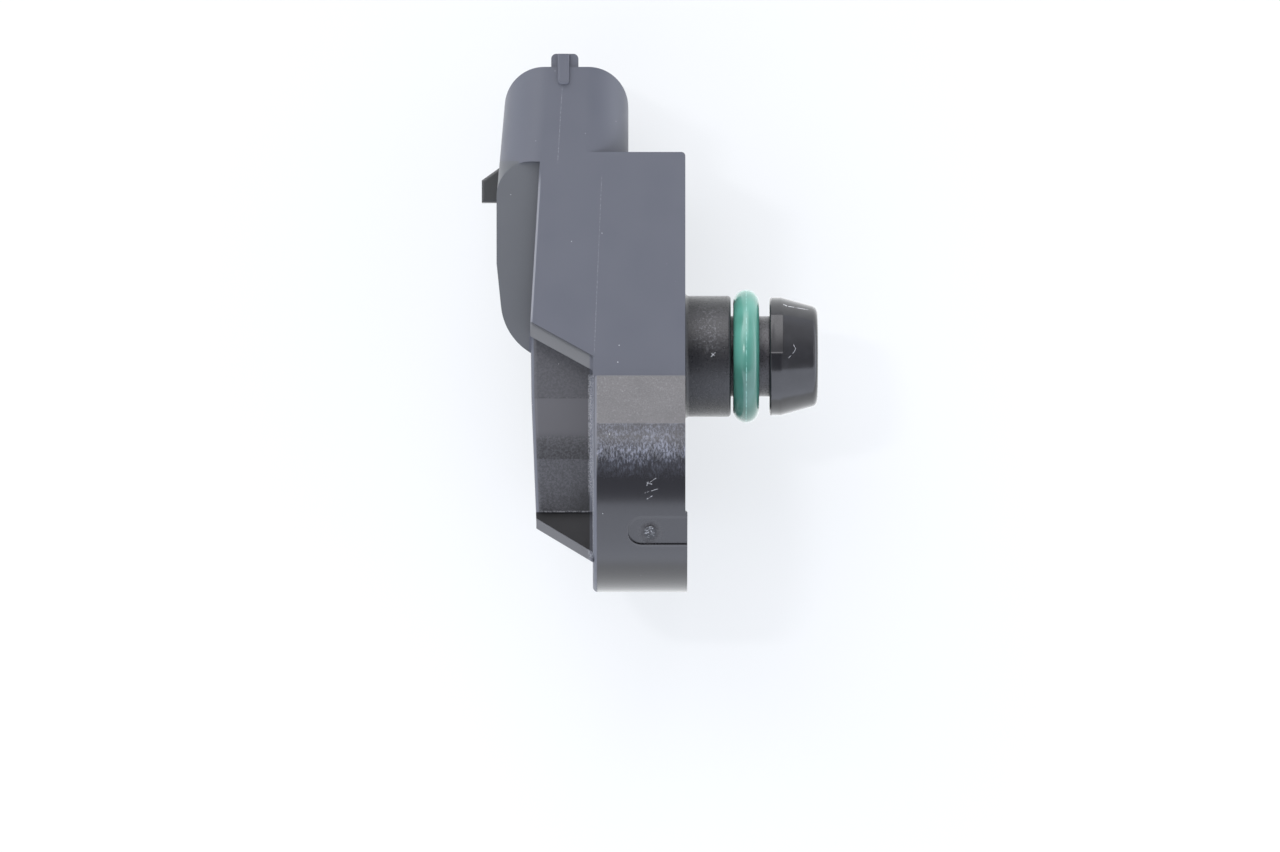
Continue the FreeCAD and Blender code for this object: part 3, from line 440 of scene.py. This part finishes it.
def makeHousingPlastic(look, places, pocket, scuff, scratches, lines, gate):
    material, board, place = newFinish("housingPlastic")
    axis = board.add("ShaderNodeSeparateXYZ", {"Vector": place})
    x, y, z = axis.outputs["X"], axis.outputs["Y"], axis.outputs["Z"]
    flat = board.add("ShaderNodeCombineXYZ", {"X": x, "Z": z}).outputs[0]
    across = board.calc("ABSOLUTE", y)
    onNearSide = board.below(y, -2.0, 0.5)

    def overLine(lowX, lowHeight, highX, highHeight):
        # How far a point lies above the straight line through two named places
        slope = (places[highHeight] - places[lowHeight]) / (places[highX] - places[lowX])
        base = places[lowHeight] - slope * places[lowX]
        return board.calc("SUBTRACT", z, board.calc("MULTIPLY_ADD", x, slope, base))

    # Zones
    underPlate = board.below(z, places["plateTop"] - 0.40, 0.06)
    overPlate = board.above(z, places["plateTop"] + 0.30, 0.06)
    overFront = overLine("rampTop", "frontFoot", "blockEnd", "frontTop")
    overRamp = overLine("rampFoot", "plateTop", "rampTop", "frontFoot")
    overCheek = board.calc("MAXIMUM", overLine("kneeX", "kneeHeight", "rampTop", "frontFoot"),
                           overLine("tailX", "tailHeight", "kneeX", "kneeHeight"))
    onFacet = board.times(board.band(x, places["facetEnd"], places["shoulder"], 0.05), underPlate)
    wander = board.calc("SUBTRACT", board.noise(place, 2.0, 3.0), 0.5)
    flankX = board.calc("MULTIPLY_ADD", wander, 0.3, x)
    onFlank = board.times(board.below(flankX, places["facetEnd"], 0.08), underPlate)
    onRubbed = board.times(onFlank, board.profile(board.calc("MULTIPLY_ADD", wander, 1.4, x), scuff))
    onBump = board.times(board.above(overFront, 0.0), board.below(across, places["bumpHalf"], 0.04),
                         board.below(x, places["bumpEnd"], 0.01))
    onLug = board.times(board.below(across, places["lugHalf"] + 0.04),
                        board.above(z, places["lugFoot"], 0.05), board.above(x, places["lugFrom"] - 0.08))
    onFloor = board.band(across, places["pocketHalf"], places["webHalf"], 0.05)
    inPocket = board.times(onFloor, overPlate,
                           board.below(overCheek, -0.30, 0.06), board.above(overRamp, -0.10, 0.10),
                           board.band(x, places["waist"], places["rampTop"], 0.02))
    onRibs = board.times(board.band(across, places["ribHalf"] - 0.05, places["ribHalf"] + 0.05, 0.02),
                         overPlate, board.below(x, places["rampTop"], 0.02))
    onWide = board.above(across, places["wideHalf"] - 0.06, 0.02)

    # Etched colour, painted shade on the bump and the lug, and the pocket's mottled floor with painted shade
    # along X and in its low corner
    cloud = board.noise(place, 0.35, 2.0, 0.6)
    speckle = board.noise(place, 7.0, 2.0, 0.7)
    grit = board.noise(place, 4.5, 2.0, 0.8)
    colour = board.mixColour(board.remap(cloud, 0.3, 0.7), look["etched"], look["etchedSecond"])
    # painted shade: the recessed bump is painted darker
    colour = board.mixColour(onBump, colour, look["bump"])
    # painted shade on the lug
    colour = board.mixColour(onLug, colour, look["lug"])
    level = board.profile(x, pocket)
    coarse = board.times(board.below(level, 0.80, 0.06), board.remap(grit, 0.35, 0.68, -0.22, 0.26))
    level = board.calc("ADD", level, coarse)
    # painted shade: the pocket is darker towards its low corner
    inShadedCorner = board.times(board.below(x, places["lowCornerX"], 2.0),
                           board.below(z, places["lowCornerHeight"], 2.2))
    level = board.times(level, board.remap(inShadedCorner, 0, 1, 1.0, look["cornerShadeGain"]))
    colour = board.mixColour(inPocket, colour, board.scaled(look["pocket"], level))
    inTail = board.times(board.band(across, places["tailHalf"], places["ribHalf"] - 0.15, 0.05), overPlate,
                         board.below(x, places["waist"], 0.02))
    colour = board.mixColour(inTail, colour, board.scaled(look["pocket"], look["tailGain"]))
    # painted light on the rib bands
    colour = board.mixColour(onRibs, colour, look["ribs"])

    # Ear: grainy flare with painted glints, polished flank and the rubbed patch between them
    glints = board.noise(place, 3.6, 3.0, 0.85)
    facetColour = board.scaled(look["facet"], board.remap(speckle, 0.3, 0.7, 0.82, 1.2))
    facetColour = board.mixColour(board.remap(glints, 0.56, 0.72, 0.0, 0.6), facetColour, look["facetGlint"])
    colour = board.mixColour(onFacet, colour, facetColour)
    scuffs = board.noise(board.stretched(place, look["scuffStretch"], (0.0, 0.5, 0.0)), 1.0, 3.0, 0.75)
    crossed = board.noise(board.stretched(place, look["scuffStretch"], (0.0, -0.6, 0.0)), 1.1, 3.0, 0.75)
    scuffed = board.remap(board.most(scuffs, crossed), 0.47, 0.68, 0.12, 1.5)
    blotch = board.remap(board.noise(place, 0.8, 2.0), 0.35, 0.65, 0.45, 1.2)
    scuffed = board.times(scuffed, blotch, onRubbed)
    colour = board.mixColour(onFlank, colour, look["polished"])
    colour = board.mixColour(scuffed, colour, look["rubbed"])

    # Painted highlights on the edges, speckled, painted shade in the creases, and the witness lines of the
    # mould
    rim = board.times(board.band(z, places["plateTop"] - 0.08, places["plateTop"] + 0.45, 0.05),
                      board.below(x, places["shoulder"] + 0.1), board.above(across, 8.0, 0.1))
    ridge = board.times(board.band(x, places["waist"] - 0.10, places["waist"] + 0.14, 0.04), overPlate,
                        board.below(overCheek, -0.5, 0.1), onFloor)
    frontEdge = board.times(board.band(overFront, -0.20, 0.03, 0.05), board.above(across, 10.0),
                            board.band(x, places["rampTop"], 17.5, 1.0))
    speck = board.remap(speckle, 0.40, 0.60)
    # painted highlights: the rim, the ridge and the front edge are painted lighter, as if catching light
    edgeHighlight = board.most(board.times(board.most(rim, ridge), speck), board.times(frontEdge, 0.85))
    colour = board.mixColour(board.times(edgeHighlight, 0.6), colour, look["paleWearAndHighlight"])
    # painted shade: dark lines along the ramp's crease and just under the plate's rim
    rampCreaseShade = board.times(board.band(overRamp, -0.16, 0.02, 0.05),
                             board.above(across, places["ribHalf"] - 0.1),
                             board.band(x, places["rampFoot"], places["rampTop"], 0.05))
    rimCreaseShade = board.times(board.band(z, places["plateTop"] - 0.19, places["plateTop"] - 0.12, 0.03),
                            board.band(x, places["rubbedEnd"], places["shoulder"], 0.1))
    colour = board.mixColour(board.times(board.most(rampCreaseShade, rimCreaseShade), 0.75), colour, look["creaseShadeAndTorn"])
    runs = []
    for slope, base, start, end in lines:
        fromLine = board.calc("SUBTRACT", z, board.calc("MULTIPLY_ADD", x, slope, base))
        runs.append(board.times(board.band(fromLine, -0.03, 0.03, 0.03), board.band(x, start, end, 0.4)))
    witness = board.times(board.calc("ADD", *runs), onWide)
    colour = board.mixColour(board.times(witness, board.remap(speckle, 0.45, 0.62, 0.06, 0.5)),
                             colour, look["paleWearAndHighlight"])

    # Scratches on the near flank, and dust that clings to every face
    marks = board.most(*[board.stroke(flat, *scratch) for scratch in scratches])
    marks = board.times(marks, onNearSide, board.remap(speckle, 0.40, 0.58))
    colour = board.mixColour(board.times(marks, 0.8), colour, look["paleWearAndHighlight"])
    spots = board.add("ShaderNodeTexVoronoi", {"Vector": place, "Scale": 1.0})
    pick = board.add("ShaderNodeSeparateColor", {"Color": spots.outputs["Color"]})
    reach = board.remap(pick.outputs["Green"], 0.0, 1.0, *look["dustReach"])
    dust = board.remap(board.calc("SUBTRACT", spots.outputs["Distance"], reach), -0.012, 0.012, 1.0, 0.0)
    dust = board.times(dust, board.below(pick.outputs["Red"], look["dustShare"]),
                       board.remap(pick.outputs["Blue"], 0, 1, 0.2, 0.9))
    colour = board.mixColour(dust, colour, look["dust"])

    # Torn stub in the gate, dark with pale chips, in a dull halo
    onGate = board.times(onFlank, onNearSide, board.below(x, gate["from"], 0.1))
    fromGate = board.farFrom(flat, *gate["line"])
    gateRim = board.times(board.band(fromGate, gate["half"] - 0.16, gate["half"] + 0.10, 0.08), onGate)
    colour = board.mixColour(board.times(gateRim, 0.2), colour, look["facet"])
    stubX, stubZ = gate["stub"]
    fromStub = board.farFrom(flat, (stubX, stubZ), (stubX - 0.1, stubZ))
    fromStub = board.calc("MULTIPLY_ADD", board.calc("SUBTRACT", grit, 0.5), 0.7, fromStub)
    core = board.times(board.below(fromStub, gate["stubReach"], 0.10), onGate)
    halo = board.times(board.below(fromStub, gate["haloReach"], 0.25), onGate)
    chips = board.remap(grit, 0.55, 0.61)
    dulled = board.times(halo, board.remap(speckle, 0.4, 0.6, 0.15, 0.6))
    colour = board.mixColour(dulled, colour, look["facet"])
    torn = board.mixColour(chips, look["creaseShadeAndTorn"], look["paleWearAndHighlight"])
    colour = board.mixColour(core, colour, torn)

    # Surface
    grain = board.noise(place, 9.0, 1.0, 0.6)
    streaks = board.noise(board.stretched(place, (0.25, 4.0, 4.0)), 1.0, 1.0, 0.6)
    grainLevel = board.mixValue(onFacet, 0.35, 1.2)
    grainLevel = board.mixValue(inPocket, grainLevel, board.remap(level, 0.5, 0.9, 1.6, 0.3))
    grainLevel = board.mixValue(onFlank, grainLevel, 0.05)
    height = board.times(grain, grainLevel)
    height = board.calc("MULTIPLY_ADD", board.times(onRubbed, 1.4), board.remap(scuffs, 0.40, 0.70), height)
    height = board.calc("MULTIPLY_ADD", board.times(onFlank, 0.5), streaks, height)
    height = board.calc("ADD", height, board.times(witness, 0.6))
    height = board.calc("ADD", height, board.times(core, grit, 7.0))
    height = board.calc("ADD", height, board.times(marks, 1.5))
    normal = board.bump(height, 0.7, look["surfaceDepth"] * mm)
    rough = board.remap(cloud, 0.3, 0.7, look["etchedRoughness"] - 0.04, look["etchedRoughness"] + 0.04)
    roughened = board.times(onRubbed, board.remap(scuffs, 0.35, 0.7, 0, 0.2))
    rough = board.mixValue(onFlank, rough, board.calc("ADD", look["polishedRoughness"], roughened))
    rough = board.mixValue(board.most(core, halo, dust), rough, look["tornRoughness"])
    onTop = board.times(onFlank, board.above(x, places["scuffFrom"], 0.6))
    gloss = board.mixValue(onTop, look["gloss"], look["scuffGloss"])
    closeFinish(board, Base_Color=colour, Roughness=rough, Normal=normal, Specular_IOR_Level=gloss)
    return material


dress(["housing"], makeHousingPlastic(housingLook, housingPlaces, pocketLevels, scuffLevels, flankScratches,
                                      witnessLines, gateSizes))


# Port cover and nozzle: fine grained collar with painted glints, glossy tip with a hair of lint and small
# scuffs

coverLook = {
    "colour": (0.0070, 0.0070, 0.0088),
    "colourWorn": (0.0115, 0.0115, 0.0140),
    # paler than the cover: painted light in the shaded groove
    "groove": (0.042, 0.040, 0.046),
    # pale specks, painted as glints in the collar's highlight and faint as grain elsewhere
    "speck": (0.150, 0.150, 0.165),
    "pale": (0.45, 0.46, 0.48),
    "collarRoughness": 0.31,
    "tipRoughness": 0.15,
    "collarGloss": 0.38,
    "tipGloss": 0.5,
    "flatGloss": (0.10, 0.40),   # at its lower and upper end in the picture
    "litX": (1.2, 4.4, 1.6),     # where painted glints, pale specks in the collar's highlight, show: from, to, softness
    "litZ": (-3.3, -0.9, 0.9),
    "tipFrom": -8.2,
    "grooveFrom": -6.9,
    "flatPlace": (2.36, -8.95),  # middle of the moulded flat on the tip's land
    "flatReach": (2.0, 0.62),
    "flatDepth": 0.05,
    "surfaceDepth": 0.040,
}

nozzleMarks = [
    ((5.15, -9.62), (5.02, -9.95), 0.09),
    ((4.98, -10.10), (4.88, -10.70), 0.07),
    ((4.84, -10.85), (4.64, -12.10), 0.06),
    ((1.13, -10.60), (0.72, -10.82), 0.05),
    ((0.72, -10.82), (0.38, -10.62), 0.05),
    ((0.38, -10.62), (0.10, -10.40), 0.05),
    ((0.10, -10.40), (-0.18, -10.12), 0.05),
    ((0.35, -2.80), (-0.05, -2.40), 0.10),
    ((0.25, -2.45), (0.02, -2.72), 0.08),
]


def makeCoverPlastic(look, marks):
    material, board, place = newFinish("coverPlastic")
    axis = board.add("ShaderNodeSeparateXYZ", {"Vector": place})
    x, y, z = axis.outputs["X"], axis.outputs["Y"], axis.outputs["Z"]
    flat = board.add("ShaderNodeCombineXYZ", {"X": x, "Z": z}).outputs[0]
    cloud = board.noise(place, 0.9, 4.0, 0.6)
    grain = board.noise(place, 4.2, 4.0, 0.8)
    onTip = board.below(z, look["tipFrom"], 0.05)
    onGroove = board.band(z, look["tipFrom"] + 0.05, look["grooveFrom"], 0.1)
    colour = board.mixColour(board.remap(cloud, 0.35, 0.7), look["colour"], look["colourWorn"])
    # painted glints: pale specks where the collar's upper side is lit, a few elsewhere as grain
    lit = board.times(board.band(x, *look["litX"]), board.band(z, *look["litZ"]), board.below(y, -2.0, 0.5))
    glintSpecks = board.times(board.remap(grain, 0.50, 0.66), board.calc("MULTIPLY_ADD", lit, 0.90, 0.03))
    colour = board.mixColour(board.times(glintSpecks, board.calc("SUBTRACT", 1.0, onTip)), colour, look["speck"])
    # painted light: the groove is painted paler than the black cover
    grooveColour = board.scaled(look["groove"], board.remap(grain, 0.3, 0.7, 0.6, 1.5))
    colour = board.mixColour(onGroove, colour, grooveColour)
    scuffs = board.most(*[board.stroke(flat, *mark) for mark in marks])
    scuffs = board.times(scuffs, board.below(y, -1.0, 0.3), board.remap(grain, 0.38, 0.52))
    colour = board.mixColour(board.times(scuffs, 0.8), colour, look["pale"])
    rough = board.mixValue(onTip, board.remap(grain, 0.3, 0.7, look["collarRoughness"] - 0.06,
                                              look["collarRoughness"] + 0.06), look["tipRoughness"])
    height = board.times(grain, board.mixValue(onTip, 1.0, 0.05))
    normal = board.bump(height, 0.8, look["surfaceDepth"] * mm)

    # The flat on the land is a little hollow, so its reflection bends
    (middleX, middleZ), (reachX, reachZ) = look["flatPlace"], look["flatReach"]
    alongX = board.calc("DIVIDE", board.calc("SUBTRACT", x, middleX), reachX)
    alongZ = board.calc("DIVIDE", board.calc("SUBTRACT", z, middleZ), reachZ)
    square = board.calc("ADD", board.times(alongX, alongX), board.times(alongZ, alongZ))
    onNearSide = board.below(y, 0.0, 0.1)
    inside = board.times(board.calc("MAXIMUM", board.calc("SUBTRACT", 1.0, square), 0.0), onNearSide)
    hollow = board.times(inside, inside, -1.0)
    dimple = board.add("ShaderNodeBump", {"Height": hollow, "Strength": 1.0, "Normal": normal,
                                          "Distance": look["flatDepth"] * mm})
    gloss = board.mixValue(onTip, look["collarGloss"], look["tipGloss"])
    onFlat = board.times(board.below(board.calc("ABSOLUTE", alongX), 1.0, 0.06), onNearSide,
                         board.below(board.calc("ABSOLUTE", alongZ), 1.0, 0.05))
    gloss = board.mixValue(onFlat, gloss, board.remap(alongX, -0.9, 0.5, *look["flatGloss"]))
    closeFinish(board, Base_Color=colour, Roughness=rough, Normal=dimple.outputs["Normal"],
                Specular_IOR_Level=gloss)
    return material


dress(["port_cover"], makeCoverPlastic(coverLook, nozzleMarks))


# Seal ring: green rubber with the fine flash of its mould round the middle, and painted light and shade
# across it

ringLook = {
    "colour": (0.044, 0.152, 0.118),
    "colourPale": (0.060, 0.192, 0.154),
    "flash": (0.16, 0.36, 0.32),
    "roughness": 0.22,
    "middle": -5.90,
    "paintedLightUp": 1.45,              # painted light: paler towards the collar
    "sideShadeAndLight": (0.60, 1.15),    # painted shade on the ear's side, painted light on the connector's
    "surfaceDepth": 0.012,
}


def makeRingRubber(look):
    material, board, place = newFinish("ringRubber")
    axis = board.add("ShaderNodeSeparateXYZ", {"Vector": place})
    z = axis.outputs["Z"]
    cloud = board.noise(place, 0.35, 1.0, 0.4)
    colour = board.mixColour(board.remap(cloud, 0.35, 0.7), look["colour"], look["colourPale"])
    # painted light and shade: paler towards the collar and the connector, darker towards the ear
    colour = board.scaled(colour, board.remap(z, look["middle"], look["middle"] + 1.1, 1.0, look["paintedLightUp"]))
    colour = board.scaled(colour, board.remap(axis.outputs["X"], -5.5, 5.0, *look["sideShadeAndLight"]))
    onFlash = board.times(board.band(z, look["middle"] - 0.04, look["middle"] + 0.04, 0.03),
                          board.remap(board.noise(place, 2.5, 2.0), 0.40, 0.62, 0.15, 0.9))
    colour = board.mixColour(onFlash, colour, look["flash"])
    grain = board.noise(place, 5.0, 1.0, 0.4)
    height = board.calc("ADD", board.times(grain, 0.12), board.times(onFlash, 1.2))
    normal = board.bump(height, 0.5, look["surfaceDepth"] * mm)
    rough = board.remap(cloud, 0.3, 0.7, look["roughness"] - 0.05, look["roughness"] + 0.05)
    closeFinish(board, Base_Color=colour, Roughness=rough, Normal=normal)
    return material


dress(["seal_ring"], makeRingRubber(ringLook))


# Finishes of the pieces that the housing hides

innerLooks = {
    "bushSteel": {"nodes": ["mounting_bush"], "colour": (0.52, 0.52, 0.54), "second": (0.64, 0.63, 0.60),
                  "metal": 1.0, "roughness": (0.28, 0.42), "stretch": (0.4, 0.4, 6.0), "height": 0.01},
    "bladeTin": {"nodes": ["terminal_supply", "terminal_signal", "terminal_ground"],
                 "colour": (0.60, 0.59, 0.56), "second": (0.70, 0.69, 0.66), "metal": 1.0,
                 "roughness": (0.22, 0.38), "stretch": (0.5, 5.0, 5.0), "height": 0.006},
    "sealingBead": {"nodes": ["cover_adhesive", "board_adhesive"], "colour": (0.020, 0.020, 0.021),
                    "second": (0.032, 0.032, 0.034), "metal": 0.0, "roughness": (0.30, 0.45),
                    "stretch": (1.0, 1.0, 1.0), "height": 0.03},
    "boardCeramic": {"nodes": ["circuit_board"], "colour": (0.74, 0.73, 0.68), "second": (0.82, 0.81, 0.77),
                     "metal": 0.0, "roughness": (0.50, 0.62), "stretch": (2.0, 2.0, 2.0), "height": 0.008},
    "frameMoulding": {"nodes": ["cell_frame"], "colour": (0.020, 0.020, 0.022),
                      "second": (0.030, 0.030, 0.032), "metal": 0.0, "roughness": (0.45, 0.58),
                      "stretch": (3.0, 3.0, 3.0), "height": 0.008},
    "dieSilicon": {"nodes": ["pressure_die"], "colour": (0.24, 0.25, 0.29), "second": (0.30, 0.31, 0.36),
                   "metal": 1.0, "roughness": (0.05, 0.12), "stretch": (2.0, 2.0, 2.0), "height": 0.001},
    "chipMoulding": {"nodes": ["signal_chip"], "colour": (0.022, 0.022, 0.024),
                     "second": (0.034, 0.034, 0.036), "metal": 0.0, "roughness": (0.50, 0.62),
                     "stretch": (6.0, 6.0, 6.0), "height": 0.006},
    "capacitorCeramic": {"nodes": ["capacitor_supply", "capacitor_signal", "capacitor_ground"],
                         "colour": (0.46, 0.32, 0.20), "second": (0.56, 0.42, 0.28), "metal": 0.0,
                         "roughness": (0.38, 0.50), "stretch": (5.0, 5.0, 5.0), "height": 0.004},
    "feedWire": {"nodes": ["terminal_wires"], "colour": (0.74, 0.74, 0.76), "second": (0.84, 0.84, 0.86),
                 "metal": 1.0, "roughness": (0.18, 0.30), "stretch": (4.0, 4.0, 4.0), "height": 0.002},
    "dieWire": {"nodes": ["die_wires"], "colour": (0.80, 0.60, 0.24), "second": (0.88, 0.70, 0.34),
                "metal": 1.0, "roughness": (0.15, 0.25), "stretch": (8.0, 8.0, 8.0), "height": 0.001},
}


def makeInnerFinish(name, look):
    material, board, place = newFinish(name)
    cloud = board.noise(board.stretched(place, look["stretch"]), 1.0, 4.0, 0.6)
    spread = board.remap(cloud, 0.32, 0.68)
    colour = board.mixColour(spread, look["colour"], look["second"])
    rough = board.remap(cloud, 0.32, 0.68, *look["roughness"])
    normal = board.bump(cloud, 0.4, look["height"] * mm)
    closeFinish(board, Base_Color=colour, Roughness=rough, Normal=normal, Metallic=look["metal"])
    return material


for finishName, innerLook in innerLooks.items():
    dress(innerLook["nodes"], makeInnerFinish(finishName, innerLook))


clearLooks = {
    "clearGlass": {"nodes": ["glass_base"], "tint": (0.86, 0.93, 0.91), "cloud": (0.80, 0.90, 0.88),
                   "roughness": 0.03, "index": 1.47},
    "clearGel": {"nodes": ["die_gel"], "tint": (0.93, 0.95, 0.96), "cloud": (0.88, 0.91, 0.93),
                 "roughness": 0.08, "index": 1.41},
}


def makeClearFinish(name, look):
    material, board, place = newFinish(name)
    cloud = board.noise(place, 0.6, 3.0, 0.5)
    colour = board.mixColour(board.remap(cloud, 0.3, 0.7), look["tint"], look["cloud"])
    normal = board.bump(cloud, 0.3, 0.02 * mm)
    closeFinish(board, Base_Color=colour, Roughness=look["roughness"], IOR=look["index"],
                Transmission_Weight=1.0, Normal=normal)
    return material


for finishName, clearLook in clearLooks.items():
    dress(clearLook["nodes"], makeClearFinish(finishName, clearLook))
print("finishes done")
